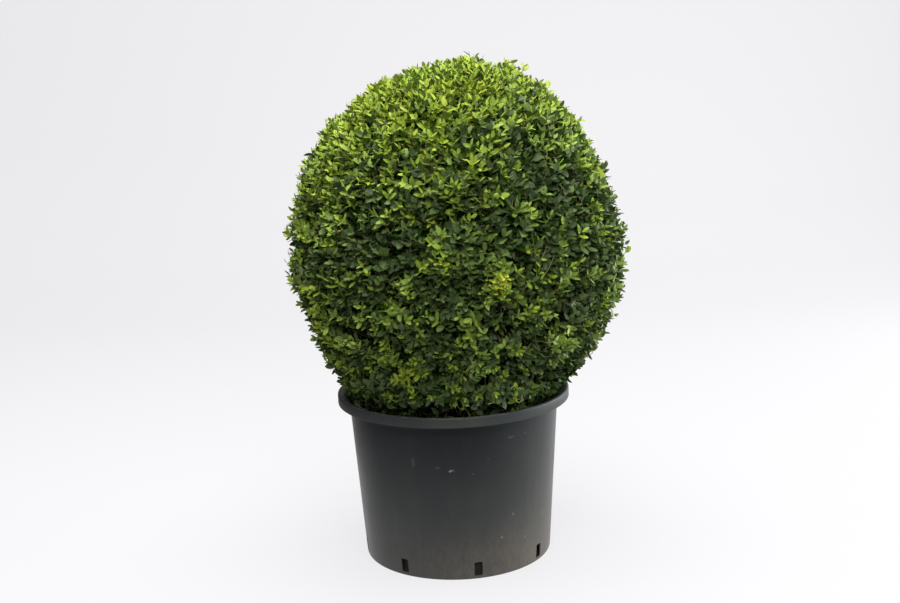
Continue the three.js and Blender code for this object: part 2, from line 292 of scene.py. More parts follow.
def makeStudio():
    bm = bmesh.new()  # a floor that sweeps up into the backdrop
    half = studio["floorHalf"]
    profile = [bm.verts.new((-half, y, z)) for y, z in studio["sweep"]]
    edges = [bm.edges.new(pair) for pair in zip(profile, profile[1:])]
    side = bmesh.ops.extrude_edge_only(bm, edges=edges)
    swept = [v for v in side["geom"] if isinstance(v, bmesh.types.BMVert)]
    bmesh.ops.translate(bm, verts=swept, vec=(2 * half, 0, 0))
    mesh = meshFromBmesh("studioFloor", bm)
    mesh.materials.append(paperMaterial())
    addObject("studioFloor", mesh)

    world = bpy.data.worlds.new("studioWorld")
    bpy.context.scene.world = world
    world.use_nodes = True
    tree = world.node_tree
    tree.nodes.clear()
    around = addNode(tree, "TexCoord").outputs["Generated"]
    side = outOf(tree, "VectorMath", "Value", {0: around, 1: studio["brightSide"]}, operation="DOT_PRODUCT")
    strength = mapRange(tree, side, -0.5, 1.0, *studio["roomLight"], "LINEAR")
    felt = addNode(tree, "Background", Color=studio["roomFelt"], Strength=strength)
    seen = addNode(tree, "Background", Color=studio["roomSeen"])
    ray = addNode(tree, "LightPath").outputs["Is Camera Ray"]
    both = {0: ray, 1: felt.outputs["Background"], 2: seen.outputs["Background"]}
    addNode(tree, "OutputWorld", Surface=outOf(tree, "MixShader", "Shader", both))

    for light in studio["lights"]:
        areaLight(*light)
    bpy.context.scene.view_settings.view_transform = "Standard"


makeCamera()
makeStudio()
print("studio ready")


# Bark and leaves

speckled = {  # dark, light, specular level
    "dampCompost": ((0.008, 0.006, 0.004), (0.048, 0.032, 0.02), 0.5),
    "barkChipBrown": ((0.03, 0.018, 0.01), (0.14, 0.09, 0.055), 0.3),
    "boxBark": ((0.085, 0.07, 0.045), (0.25, 0.22, 0.15), 0.3),
    "twigBark": ((0.14, 0.125, 0.06), (0.34, 0.31, 0.16), 0.15),
    "shootGreen": ((0.17, 0.22, 0.05), (0.34, 0.38, 0.1), 0.15),
    "looseStem": ((0.14, 0.155, 0.05), (0.27, 0.29, 0.115), 0.15),
    "innerShade": ((0.004, 0.009, 0.0015), (0.011, 0.02, 0.004), 0.02),
}


def speckledMaterial(name, pattern=(120.0, 0.35, 0.7, 0.75, 0.9), bump=(0.5, 0.001)):
    dark, light, specular = speckled[name]
    scale, low, high, smooth, rough = pattern
    material, tree, shader = newMaterial(name)
    base = addNode(tree, "Group", {"node_tree": speckle}, First=dark, Second=light, Scale=scale,
                   Low=low, High=high, Smooth=smooth, Rough=rough)
    coverWith(tree, shader, base, *bump)
    fill(tree, shader, Specular_IOR_Level=specular)
    return material


leafTones = {  # upper side, under side, roughness low and high, specular level, spread of lightness
    "golden": ((0.44, 0.525, 0.06), (0.42, 0.46, 0.08), 0.4, 0.52, 0.15, 0.4),
    "youngYellow": ((0.268, 0.348, 0.03), (0.31, 0.375, 0.065), 0.4, 0.52, 0.15, 0.25),
    "young": ((0.242, 0.348, 0.04), (0.245, 0.335, 0.07), 0.38, 0.5, 0.15, 0.28),
    "fresh": ((0.181, 0.271, 0.043), (0.175, 0.25, 0.067), 0.38, 0.52, 0.18, 0.38),
    "mid": ((0.105, 0.162, 0.037), (0.12, 0.17, 0.06), 0.42, 0.54, 0.22, 0.65),
    "mature": ((0.057, 0.095, 0.026), (0.09, 0.125, 0.052), 0.46, 0.58, 0.22, 0.7),
    # deep: the darkest tone, for old leaves and as painted shade on leaves deep in the ball
    "deep": ((0.011, 0.034, 0.001), (0.024, 0.055, 0.006), 0.45, 0.6, 0.04, 0.6),
}
toneNames = list(leafTones)
youngest, firstOld = toneNames.index("youngYellow"), toneNames.index("mid")


def leafMaterial(name):
    upper, under, smooth, rough, specular, spread = leafTones[name]
    material, tree, shader = newMaterial(name + "Leaf")
    ribTone = tuple(min(1.0, c * 1.5 + 0.02) for c in upper)
    base = addNode(tree, "Group", {"node_tree": leafShade}, Upper=upper, Rib=ribTone,
                   Spread=spread, Smooth=smooth, Rough=rough)
    coverWith(tree, shader, base, 0.2, 0.0006)
    turned = addNode(tree, "NewGeometry").outputs["Backfacing"]
    fill(tree, shader, Base_Color=mixColour(tree, turned, base.outputs["Color"], under),
         Specular_IOR_Level=specular)
    return material


# Pot

potLook = {
    "plastic": (0.0058, 0.0087, 0.0104),  # high on the wall, darkened as painted shade under the rim and the ball
    "filmAndPaintedLight": (0.0448, 0.047, 0.0465),  # the dusty film lower down, lightened as a painted reflection of the floor
    "shadeToFilmHeights": (0.36, 0.0),
    "worn": (1.35, 1.35, 1.3),  # where the film is thicker
    "wornShares": (0.45, 0.55),  # by streaks and by clouds
    "paintedRightLight": (1.46, 1.41, 1.33),  # and lighter on the right: painted light from the lamp on that side
    "paintedRightLightAcross": (0.0, 0.19),
    "band": (0.041, 0.047, 0.047),
    "bandHighlight": (0.056, 0.063, 0.055),  # a painted highlight, paler across the front middle of the band
    "bandHighlightAcross": (0.01, 0.09),  # middle and half width
    "bandFoot": (0.336, 0.341),
    "crest": (0.088, 0.094, 0.09),  # a painted highlight, pale along the top edge
    "crestHighlightHeights": (0.3568, 0.3592),
    "dust": (0.17, 0.135, 0.095),
    "dustTop": 0.15,  # metres up the foot that dust climbs
    "dustAcross": (-0.15, 0.06, 0.3, 1.0),  # from left to right, and how much there is at each
    "dustMost": 0.52,
    "patterns": {  # scale, detail, stretch up the wall, and the noise's least and most that count
        "streaks": (22.0, 3.0, 0.12, 0.42, 0.68),
        "clouds": (9.0, 4.0, 1.0, 0.4, 0.72),
        "bandHighlightPatches": (14.0, 3.0, 1.0, 0.3, 0.55),
        "crestHighlightPatches": (38.0, 4.0, 1.0, 0.3, 0.6),
        "splashes": (120.0, 9.0, 0.45, 0.12, 0.92),
        "specks": (170.0, 1.0, 1.0, 0.77, 0.84),
    },
    "specksMost": 0.25,
    "scuff": (0.24, 0.24, 0.23),
    "markRadius": 0.21,  # of the wall where the marks are
    "markGrain": (420.0, 5.0),  # scale and strength
    "markEdge": (3.6, 2.5),
    "marks": [  # degrees from the front towards +X, height, half width, half height, strength
        (-2.8, 0.241, 0.006, 0.0028, 1.0), (-23.3, 0.255, 0.004, 0.011, 0.15),
        (-10.1, 0.248, 0.007, 0.003, 0.12), (30.6, 0.299, 0.01, 0.003, 0.14),
        (40.1, 0.301, 0.004, 0.002, 0.15), (8.9, 0.232, 0.003, 0.002, 0.15),
        (25.4, 0.084, 0.003, 0.003, 0.6), (42.1, 0.071, 0.002, 0.003, 0.6),
        (32.6, 0.13, 0.003, 0.003, 0.3), (58.6, 0.106, 0.003, 0.005, 0.3),
        (33, 0.3385, 0.011, 0.0016, 0.25), (48, 0.339, 0.008, 0.0014, 0.15),
    ],
    "roughness": (0.3, 0.12, 0.12, 0.4),  # bare, and more under film, on the band and under dust
    "specular": 0.22,
}


def potMark(tree, parts, grain, mark):
    # An oval rubbed patch at an angle and a height on the wall, broken up by the grain.
    angle, height, wide, high, strength = mark
    around = maths(tree, "ARCTAN2", parts["X"], maths(tree, "MULTIPLY", parts["Y"], -1.0))
    turned = maths(tree, "SUBTRACT", around, math.radians(angle))
    off = maths(tree, "MULTIPLY", turned, potLook["markRadius"] / wide)
    over = maths(tree, "DIVIDE", maths(tree, "SUBTRACT", parts["Z"], height), high)
    squares = [maths(tree, "MULTIPLY", way, way) for way in (off, over)]
    return mapRange(tree, maths(tree, "ADD", *squares, grain), *potLook["markEdge"], 0.0, strength)


def potMaterial():
    material, tree, shader = newMaterial("potPlastic")
    place = addNode(tree, "TexCoord").outputs["Object"]
    parts = addNode(tree, "SeparateXYZ", Vector=place).outputs
    across, height = parts["X"], parts["Z"]

    def times(*values):
        return maths(tree, "MULTIPLY", *values)

    def noiseAt(scale, detail, stretch=1.0):
        mapping = addNode(tree, "Mapping", Vector=place, Scale=(1.0, 1.0, stretch))
        return addNode(tree, "TexNoise", Vector=mapping.outputs["Vector"], Scale=scale, Detail=detail,
                       Roughness=0.62).outputs["Fac"]

    def pattern(name):
        scale, detail, stretch, low, high = potLook["patterns"][name]
        return mapRange(tree, noiseAt(scale, detail, stretch), low, high)

    # Darker high on the wall and paler low down: painted shade under the rim and ball, a painted floor
    # reflection, and a dusty film
    wall = mapRange(tree, height, *potLook["shadeToFilmHeights"], kind="LINEAR")
    filmAndPaintedLight = mixColour(tree, wall, potLook["plastic"], potLook["filmAndPaintedLight"])
    byStreaks, byClouds = potLook["wornShares"]
    thick = maths(tree, "ADD", times(pattern("streaks"), byStreaks), times(pattern("clouds"), byClouds))
    # The right side is made paler: painted light from the lamp on that side
    paintedRightShare = mapRange(tree, across, *potLook["paintedRightLightAcross"])
    for share, tint in ((thick, potLook["worn"]), (paintedRightShare, potLook["paintedRightLight"])):
        filmAndPaintedLight = mixColour(tree, share, filmAndPaintedLight, mixColour(tree, 1.0, filmAndPaintedLight, tint, "MULTIPLY"))

    # A painted highlight in patches across the front middle of the band
    middle, half = potLook["bandHighlightAcross"]
    aside = maths(tree, "ABSOLUTE", maths(tree, "SUBTRACT", across, middle), 0.0)
    bandHighlightPatches = times(mapRange(tree, aside, half, half * 0.3), pattern("bandHighlightPatches"))
    band = mixColour(tree, bandHighlightPatches, potLook["band"], potLook["bandHighlight"])
    onBand = mapRange(tree, height, *potLook["bandFoot"])
    colour = mixColour(tree, onBand, filmAndPaintedLight, band)

    # A painted highlight along the crest of the rim, in patches
    crest = times(mapRange(tree, height, *potLook["crestHighlightHeights"]), pattern("crestHighlightPatches"))
    dust = times(mapRange(tree, height, potLook["dustTop"], 0.0), pattern("splashes"),
                 mapRange(tree, across, *potLook["dustAcross"]), potLook["dustMost"])
    scale, strength = potLook["markGrain"]
    grain = times(noiseAt(scale, 2.0), strength)
    scuff = times(pattern("specks"), potLook["specksMost"])
    for mark in potLook["marks"]:
        scuff = maths(tree, "MAXIMUM", scuff, potMark(tree, parts, grain, mark))
    # The crest's tint is a painted highlight; the dust and the scuffs are marks on the pot
    for share, tint in ((crest, "crest"), (dust, "dust"), (scuff, "scuff")):
        colour = mixColour(tree, share, colour, potLook[tint])

    bare, *more = potLook["roughness"]
    rough = maths(tree, "ADD", bare, *[times(part, by) for part, by in zip((thick, onBand, dust), more)])
    fill(tree, shader, Base_Color=colour, Roughness=rough, Specular_IOR_Level=potLook["specular"])
    bumpInto(tree, shader, noiseAt(9.0, 4.0), 0.2, 0.002)
    return material


potSize = {
    "foot": 0.202, "neck": 0.225, "band": 0.021, "wall": 0.003, "base": 0.004,
    "crestRound": 0.004, "lipRound": 0.0007, "footRound": 0.0025,
    "rolledTo": 130,  # degrees over the crest
    "straight": (0.02, 0.32, 13),  # heights of the wall's rings
    "swingStart": 0.342, "swingBend": 0.355, "swingLean": 0.003,
    "slots": 8, "slotTurn": 11.0, "slotCorner": 0.0025, "slotSill": 0.007,
    "slot": (0.017, 0.024, 0.030),
    "sides": 192, "sharpFrom": 35,
}
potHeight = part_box("pot")[1].z
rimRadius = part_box("pot")[1].x
bandFoot = potHeight - potSize["band"]


def wallOutside(z):
    return potSize["foot"] + (potSize["neck"] - potSize["foot"]) * z / bandFoot


def wallInside(z):
    return wallOutside(z) - potSize["wall"]


def arcPoints(r, z, radius, start, stop, steps):
    angles = np.radians(np.linspace(start, stop, steps + 1))
    return [(r + radius * math.cos(a), z + radius * math.sin(a)) for a in angles]


def swingPoints(thickness, end, steps=8):
    # The wall's curve out to the rim.
    start = np.array([wallInside(potSize["swingStart"]) + thickness, potSize["swingStart"]])
    bend = np.array([start[0] + potSize["swingLean"], potSize["swingBend"] - thickness])
    return [tuple((1 - t) ** 2 * start + 2 * t * (1 - t) * bend + t * t * np.array(end))
            for t in np.linspace(0, 1, steps + 1)]


def potProfile():
    wall, rounding, rolled = potSize["wall"], potSize["crestRound"], potSize["rolledTo"]
    lip, heel = potSize["lipRound"], potSize["footRound"]
    crest, crestZ = rimRadius - rounding, potHeight - rounding
    under = arcPoints(crest, crestZ, rounding - wall, rolled, 0, 4)
    over = arcPoints(crest, crestZ, rounding, 0, rolled, 10)
    straight = np.linspace(*potSize["straight"])
    return [
        (0, 0),
        *arcPoints(potSize["foot"] - heel, heel, heel, -90, 0, 5),
        *[(wallOutside(z), z) for z in straight],
        *swingPoints(wall, under[0]),
        *under[1:],
        (rimRadius - wall, bandFoot + lip),
        *arcPoints(rimRadius - wall + lip, bandFoot + lip, lip, 180, 270, 3),
        *arcPoints(rimRadius - lip, bandFoot + lip, lip, -90, 0, 3),
        *over[:-1],
        *reversed(swingPoints(0, over[-1])),
        *[(wallInside(z), z) for z in straight[::-1]],
        (wallInside(potSize["base"]), potSize["base"]),
        (0, potSize["base"]),
    ]


def slotCutter():
    bm = bmesh.new()
    wide, deep, high = potSize["slot"]
    for i in range(potSize["slots"]):
        made = bmesh.ops.create_cube(bm, size=1)["verts"]
        bmesh.ops.scale(bm, vec=(wide, deep, high), verts=made)
        bmesh.ops.translate(bm, vec=(0, -potSize["foot"], potSize["slotSill"] + high / 2), verts=made)
        turn = math.radians(potSize["slotTurn"] + i * 360 / potSize["slots"])
        bmesh.ops.rotate(bm, cent=(0, 0, 0), matrix=Matrix.Rotation(turn, 3, "Z"), verts=made)
    through = [e for e in bm.edges if abs(e.verts[0].co.z - e.verts[1].co.z) < 1e-6
               and e.calc_length() > deep * 0.95]  # the edges that run inward
    bmesh.ops.bevel(bm, geom=through, offset=potSize["slotCorner"], segments=3, profile=0.5,
                    affect="EDGES", material=-1)
    return meshFromBmesh("slotCutter", bm, smooth=False)


def makePot():
    mesh = meshFromBmesh("nurseryPot", spun(potProfile(), potSize["sides"]))
    pot = pieceFrom(mesh, potMaterial(), "pot")
    cutter = addObject("slotCutter", slotCutter())
    cut = pot.modifiers.new("slots", "BOOLEAN")
    cut.operation = "DIFFERENCE"
    cut.solver = "EXACT"
    cut.object = cutter
    bpy.context.view_layer.update()
    finished = bpy.data.meshes.new_from_object(pot.evaluated_get(bpy.context.evaluated_depsgraph_get()))
    pot.modifiers.clear()
    pot.data = finished
    bpy.data.objects.remove(cutter)
    finished.set_sharp_from_angle(angle=math.radians(potSize["sharpFrom"]))


makePot()
print("pot ready")


# Compost: it shows in the slots, and between the stem and the leaves

compostSize = {
    "top": 0.325, "gap": 0.0003,
    "rings": (0.006, 0.01, 0.014, 0.02, 0.026, 0.032, 0.036, 0.044, 0.08, 0.16, 0.24, 0.3),
    "sides": 120,
    "lump": 0.004,
    "sink": 0.006,  # lower round the wall
    "crumble": 0.014,  # how far its side is broken back, as a share
    "washedOut": (0.006, 0.008, 0.038),  # stands back from the slots, between these heights
    "grain": (260.0, 0.5, 0.74, 0.8, 0.95),  # scale, the noise's least and most, roughness low and high
    "bump": (0.8, 0.003),
    "chips": 150,
    "chipLeast": (0.004, 0.002, 0.0012),
    "chipMost": (0.013, 0.006, 0.003),
    "chipWarp": (0.75, 1.1),
    "chipTilt": 0.25,
    "seed": 5,
}


def makeCompost():
    gap, top, sink = compostSize["gap"], compostSize["top"], compostSize["sink"]
    floor = potSize["base"] + gap
    edge = wallInside(top) - gap
    away, lowest, highest = compostSize["washedOut"]
    sides = [(wallInside(z) - gap - away * (lowest < z < highest), z) for z in (floor, *compostSize["rings"])]
    surface = [(edge * share, top - sink * share ** 6) for share in np.linspace(0.95, 0.05, 16)]
    bm = spun([(0, floor), *sides, (edge, top - sink), *surface, (0, top)], compostSize["sides"])
    for vert in bm.verts:
        place = vert.co.copy()
        if place.z > top - 0.01:
            vert.co.z += compostSize["lump"] * (noise.noise(place * 45) - 0.4)
        elif place.z > floor + 0.001:
            vert.co.xy *= 1 - compostSize["crumble"] * max(0, noise.noise(place * 130) + 0.25)
    soil = speckledMaterial("dampCompost", compostSize["grain"], compostSize["bump"])
    pieceFrom(meshFromBmesh("compostFill", bm), soil, "compost")

    rng = np.random.default_rng(compostSize["seed"])  # chips of bark strewn over the top
    bm = bmesh.new()
    for _ in range(compostSize["chips"]):
        made = bmesh.ops.create_cube(bm, size=1)["verts"]
        size = rng.uniform(compostSize["chipLeast"], compostSize["chipMost"])
        bmesh.ops.scale(bm, vec=tuple(size), verts=made)
        for vert in made:
            vert.co *= rng.uniform(*compostSize["chipWarp"])
        around, out = rng.uniform(0, 2 * math.pi), edge * 0.95 * math.sqrt(rng.uniform(0.08, 1))
        turn = Matrix.Rotation(rng.uniform(0, 6.3), 3, "Z")
        turn = turn @ Matrix.Rotation(rng.normal(0, compostSize["chipTilt"]), 3, "X")
        bmesh.ops.rotate(bm, cent=(0, 0, 0), matrix=turn, verts=made)
        place = (out * math.cos(around), out * math.sin(around), top - 0.0005)
        bmesh.ops.translate(bm, vec=place, verts=made)
    chips = meshFromBmesh("barkChips", bm, smooth=False)
    pieceFrom(chips, speckledMaterial("barkChipBrown"), "compost")


makeCompost()
print("compost ready")


# Ball: the rule for the clipped surface, and where foliage may be

ball = {
    "x": 0.018, "z": 0.66, "radius": 0.352, "halfHeight": 0.391, "clear": 0.003,
    "mouth": (0.239, 0.386),  # leaves keep inside this radius up to this height
    "skirt": (-52, 10),  # elevation and width of the growth over the pot
    "skirtRise": 0.009,
    "lobes": [  # azimuth, elevation, width in degrees, rise
        (0, 69, 17, 0.011), (180, 73, 15, -0.008), (0, 33, 18, -0.009), (180, -32, 20, -0.016),
        (-20, -48, 20, -0.019), (205, 20, 22, 0.005), (75, 30, 24, 0.006), (120, -12, 22, -0.007),
        (40, -20, 24, 0.005),
    ],
}
middle = np.array([ball["x"], 0, ball["z"]])


def towards(azimuth, elevation):
    a, e = math.radians(azimuth), math.radians(elevation)
    return np.array([math.cos(e) * math.cos(a), math.cos(e) * math.sin(a), math.sin(e)])


def within(ways, azimuth, elevation, width):
    return ways @ towards(azimuth, elevation) > math.cos(math.radians(width))


def swell(off, width, rise):
    return rise * np.exp(-(off / width) ** 2)


def swellRound(ways, elevation, width, rise):
    # A swelling all the way round at one elevation.
    return swell(np.degrees(np.arcsin(np.clip(ways[:, 2], -1, 1))) - elevation, width, rise)


def withSwells(values, ways, places):
    # The values with a rise round each place: azimuth, elevation, width in degrees, rise.
    for *place, width, rise in places:
        off = np.degrees(np.arccos(np.clip(ways @ towards(*place), -1, 1)))
        values = values + swell(off, width, rise)
    return values


def reach(ways):
    flat = np.hypot(ways[:, 0], ways[:, 1])
    total = 1 / np.hypot(flat / ball["radius"], ways[:, 2] / ball["halfHeight"])
    return withSwells(total, ways, ball["lobes"]) + swellRound(ways, *ball["skirt"], ball["skirtRise"])


def onBall(ways, part=1.0, short=0.0):
    return middle + ways * (reach(ways) * part - short)[:, None]


def shareOf(points):
    out = points - middle
    length = np.linalg.norm(out, axis=1)
    return length / reach(out / length[:, None])


throat = np.array(swingPoints(0, (rimRadius - potSize["crestRound"], potHeight)))  # the rim's inner slope


def hasRoom(points, most=1.0):
    flat = np.hypot(points[:, 0], points[:, 1])
    height = points[:, 2]
    slope = np.interp(height, throat[:, 1], throat[:, 0])
    inMouth = flat < np.where(height < potSize["swingStart"], wallInside(height), slope) - ball["clear"]
    mouthRadius, mouthTop = ball["mouth"]
    overMouth = (height > mouthTop) | ((height > potHeight + ball["clear"]) & (flat < mouthRadius))
    return (shareOf(points) <= most) & (height > compostSize["top"] + ball["clear"]) & (overMouth | inMouth)


def evenly(count):
    turn = math.pi * (3 - math.sqrt(5)) * np.arange(count)
    height = 1 - (2 * np.arange(count) + 1) / count
    flat = np.sqrt(1 - height * height)
    return np.stack([flat * np.cos(turn), flat * np.sin(turn), height], axis=1)


def wandered(rng, count, most):
    ways = evenly(count)
    return unit(ways + rng.uniform(-most, most, ways.shape))


def facing(ways):
    # Outward normals of the clipped surface.
    return unit(ways / np.array([ball["radius"], ball["radius"], ball["halfHeight"]]) ** 2)


def sideways(ways):
    # A direction square to each of the given ones.
    helper = np.where(np.abs(ways[:, 2:3]) < 0.9, np.array([[0.0, 0, 1]]), np.array([[1.0, 0, 0]]))
    return unit(np.cross(ways, helper))


def lumpsOver(ways, coarse, fine):
    return np.array([noise.noise(Vector(way * coarse)) + 0.6 * noise.noise(Vector(way * fine))
                     for way in ways])


def bent(start, knee, end, steps):
    t = np.linspace(0, 1, steps + 1)[None, :, None]
    return (1 - t) ** 2 * start[:, None] + 2 * t * (1 - t) * knee[:, None] + t * t * end[:, None]


def alongPaths(paths, share):
    place = share * (paths.shape[1] - 1)
    low = np.minimum(place.astype(int), paths.shape[1] - 2)
    rows = np.arange(len(paths))
    part = (place - low)[:, None]
    return paths[rows, low] * (1 - part) + paths[rows, low + 1] * part


def rodPiece(name, paths, material, root, tip, sides):
    # Closed rods along rows of points, which taper from one radius to another.
    count, rings = paths.shape[:2]
    along = unit(np.gradient(paths, axis=1))
    across = sideways(unit(paths[:, -1] - paths[:, 0]))[:, None, :]
    across = unit(across - dot(across, along) * along)
    third = np.cross(along, across)
    turn = np.linspace(0, 2 * math.pi, sides, endpoint=False)
    ring = across[:, :, None] * np.cos(turn)[:, None] + third[:, :, None] * np.sin(turn)[:, None]
    points = paths[:, :, None] + ring * np.linspace(root, tip, rings)[:, None, None]
    low = (np.arange(rings - 1)[:, None] * sides + np.arange(sides)).ravel()
    right = (np.arange(rings - 1)[:, None] * sides + (np.arange(sides) + 1) % sides).ravel()
    fan = np.array([(0, i, i + 1) for i in range(1, sides - 1)])
    template = np.concatenate([np.stack([low, right, right + sides], 1),
                               np.stack([low, right + sides, low + sides], 1),
                               fan[:, ::-1], fan + (rings - 1) * sides])
    mesh = meshFromCopies(name, points.reshape(count, -1, 3), template)
    pieceFrom(mesh, material, "foliage")


# Stem

stemSize = {
    "foot": 0.3253, "top": 0.452, "neck": 0.503,
    "footRadius": 0.023, "tipRadius": 0.017,
    "flare": 0.015, "flareHeight": 0.03, "flareLobes": 5, "flareDepth": 0.16,
    "oval": 0.05,
    "bark": 0.0013,  # height of the bark's ridges
    "ridges": (210, 210, 38),  # their scale across and up
    "rings": 34, "sides": 56,
}


def leanAt(z):
    return ball["x"] * (z - stemSize["foot"]) / (ball["z"] - stemSize["foot"])


def flareAt(z):
    return max(0, 1 - (z - stemSize["foot"]) / stemSize["flareHeight"])


def stemRadius(z):
    share = min(1, (z - stemSize["foot"]) / (stemSize["top"] - stemSize["foot"]))
    taper = stemSize["footRadius"] + (stemSize["tipRadius"] - stemSize["footRadius"]) * share
    return taper + stemSize["flare"] * flareAt(z) ** 2


def makeStem(bark):
    foot, tip = stemSize["foot"], stemSize["neck"] + 0.012
    heights = [foot + (tip - foot) * share ** 1.3 for share in np.linspace(0, 1, stemSize["rings"])]
    profile = [(0, foot), *[(stemRadius(z), z) for z in heights],
               (stemSize["tipRadius"] * 0.6, tip + 0.009), (0, tip + 0.011)]
    bm = spun(profile, stemSize["sides"])
    for vert in bm.verts:
        place = vert.co.copy()
        angle = math.atan2(place.y, place.x)
        lobes = stemSize["flareDepth"] * flareAt(place.z) * math.cos(stemSize["flareLobes"] * angle)
        wide = 1 + lobes + stemSize["oval"] * math.cos(2 * angle + 1)
        ridge = noise.noise(place * Vector(stemSize["ridges"]))
        rough = stemSize["bark"] * ridge / max(place.xy.length, 0.004)
        vert.co.xy = place.xy * (wide + rough)
        vert.co.x += leanAt(place.z)
    pieceFrom(meshFromBmesh("barkStem", bm), bark, "stem")


# Wood: limbs, boughs and twigs, each forking off the last

wood = {
    "limbs": 36,
    "forkShare": 0.6,
    "limbKnee": (0.45, -0.018, 0.012),  # share of the way, sag, and how much it wanders
    "limbRod": (0.0072, 0.0046, 9),  # radius at the root and at the tip, sides
    "boughs": (100, 0.06, 0.015, 0.008),  # count, wander, least way under the clipped surface, how much more
    "boughKnee": (0.045, 0.008),  # how far ahead, and how much it wanders
    "boughRod": (0.0046, 0.0022, 7),
    "twigs": (1300, 0.03, 0.010, 0.014),
    "twigForks": (0.3, 0.72),  # where they leave their bough
    "twigKnee": (1.2, 0.5, 0.004),  # pull to the tip, share of the way, wandering
    "twigRod": (0.002, 0.0012, 4),
}


def spread(rng, count, wander, least, more):
    # Directions over the whole ball, and the tips under its surface that have room.
    ways = wandered(rng, count, wander)
    tips = onBall(ways, 1, least + rng.uniform(0, more, count))
    kept = hasRoom(tips)
    return ways[kept], tips[kept]


def growWood(rng):
    neck = np.array([leanAt(stemSize["top"]), 0, stemSize["neck"]])
    limbWays = evenly(wood["limbs"])
    limbEnds = onBall(limbWays, wood["forkShare"])
    kept = limbEnds[:, 2] > neck[2]
    limbWays, limbEnds = limbWays[kept], limbEnds[kept]
    necks = np.repeat(neck[None], len(limbEnds), 0)
    share, sag, vary = wood["limbKnee"]
    knees = neck + (limbEnds - neck) * share + np.array([0, 0, sag]) + rng.normal(0, vary, limbEnds.shape)
    limbs = bent(necks, knees, limbEnds, 9)

    boughWays, tips = spread(rng, *wood["boughs"])
    host = np.argmax(boughWays @ limbWays.T, axis=1)
    forks = limbEnds[host]
    heading = unit(limbEnds - neck)[host]
    ahead, vary = wood["boughKnee"]
    boughs = bent(forks, forks + heading * ahead + rng.normal(0, vary, forks.shape), tips, 8)

    twigWays, tips = spread(rng, *wood["twigs"])
    host = np.argmax(twigWays @ boughWays.T, axis=1)
    start = alongPaths(boughs[host], rng.uniform(*wood["twigForks"], len(tips)))
    heading = unit(boughs[host][:, -1] - boughs[host][:, 0])
    span = np.linalg.norm(tips - start, axis=1)[:, None]
    aim, share, vary = wood["twigKnee"]
    knees = start + unit(heading + unit(tips - start) * aim) * span * share
    twigs = bent(start, knees + rng.normal(0, vary, tips.shape), tips, 5)
    return limbs, boughs, twigs, twigWays


# Shoots

growth = {
    "seed": 41,
    "shoots": 6300,
    "wander": 0.014,
    "sizes": (0.8, 1.12),
    "depths": (0.003, 0.02, 1.3),  # least way under the clipped surface, how much more, its bias
    "clump": 0.007,  # how far whole twigs stand out or lie back
    "sunken": (0.11, 0.02),  # share of twigs that lie deep and leave a dark gap, and how deep
    "evenTop": 0.75,  # how much less of both there is at the top
    "skirtFill": 0.015,  # the growth over the pot's mouth stands further out
    "rimFill": (-54, 5, 0.014),  # further out again on the left, where the ball stands away from the rim
    "limits": (-0.006, 0.034),  # furthest out and deepest
    "nudges": [  # azimuth, elevation, width in degrees, how far the leaves lie back or stand out
        (180, -33, 12, 0.019), (180, -47, 5, -0.008), (180, 12, 10, 0.005), (0, 8, 14, 0.007),
        (180, 36, 9, -0.006), (180, 48, 9, -0.004), (180, 70, 12, -0.008), (0, 81, 7, -0.01),
        (-20, -30, 12, 0.004), (-33, -53, 9, 0.014), (-131, -22, 6, -0.012),
        (-111, -34, 4, -0.006),
    ],
    "rosettes": [(-78, -2, 22, 1.9)],  # azimuth, elevation, shoots, spread in degrees
    "rosetteSize": 0.68,
    "rosetteDepth": -0.007,
    "gathered": (-131, -23, 7, 0.4),  # the shoots within this many degrees stand closer by this share
    "strays": 90,
    "strayRise": (0.006, 0.016),
    "forks": (0.25, 0.85),  # where they leave their twig
    "heading": (0.75, 0.75, 0.35, 0.34),  # outward, upward, along, and how much it wanders
    "clipped": 1.06,
    "straightEnd": 0.044,
    "rod": (0.0011, 0.0007, 3),
}


def growShoots(rng, twigs, twigWays):
    count = growth["shoots"]
    ways = wandered(rng, count, growth["wander"])
    size = rng.uniform(*growth["sizes"], count)
    for *place, more, width in growth["rosettes"]:
        around = unit(towards(*place) + rng.normal(0, math.radians(width), (more, 3)))
        ways = np.concatenate([ways, around])
        size = np.concatenate([size, np.full(more, growth["rosetteSize"])])
    *place, width, closer = growth["gathered"]
    near = within(ways, *place, width)
    ways[near] = unit(ways[near] * (1 - closer) + towards(*place) * closer)
    host = np.argmax(ways @ twigWays.T, axis=1)

    back = rng.normal(0, growth["clump"], len(twigWays))
    share, deep = growth["sunken"]
    back[rng.random(len(twigWays)) < share] += deep
    back *= 1 - growth["evenTop"] * np.clip(twigWays[:, 2], 0, 1)
    least, more, bias = growth["depths"]
    depth = more * rng.random(len(ways)) ** bias + least + back[host]
    depth -= swellRound(ways, *ball["skirt"], growth["skirtFill"])
    onLeft = np.clip(-2 * ways[:, 0], 0, 1)
    depth = np.clip(depth, *growth["limits"]) - swellRound(ways, *growth["rimFill"]) * onLeft
    proud = rng.choice(count, growth["strays"], replace=False)
    depth[proud] = -rng.uniform(*growth["strayRise"], len(proud))
    depth[count:] = growth["rosetteDepth"]

    tips = onBall(ways, 1, withSwells(depth, ways, growth["nudges"]))
    start = alongPaths(twigs[host], rng.uniform(*growth["forks"], len(tips)))
    out, lift, along, vary = growth["heading"]
    heading = facing(ways) * out + np.array([0, 0, lift]) + unit(tips - start) * along
    heading = unit(heading + rng.normal(0, vary, tips.shape))
    kept = hasRoom(tips, growth["clipped"])
    return [rows[kept] for rows in (ways, host, depth, size, tips, start, heading)]


# How old the growth is, from region to region and from shoot to shoot

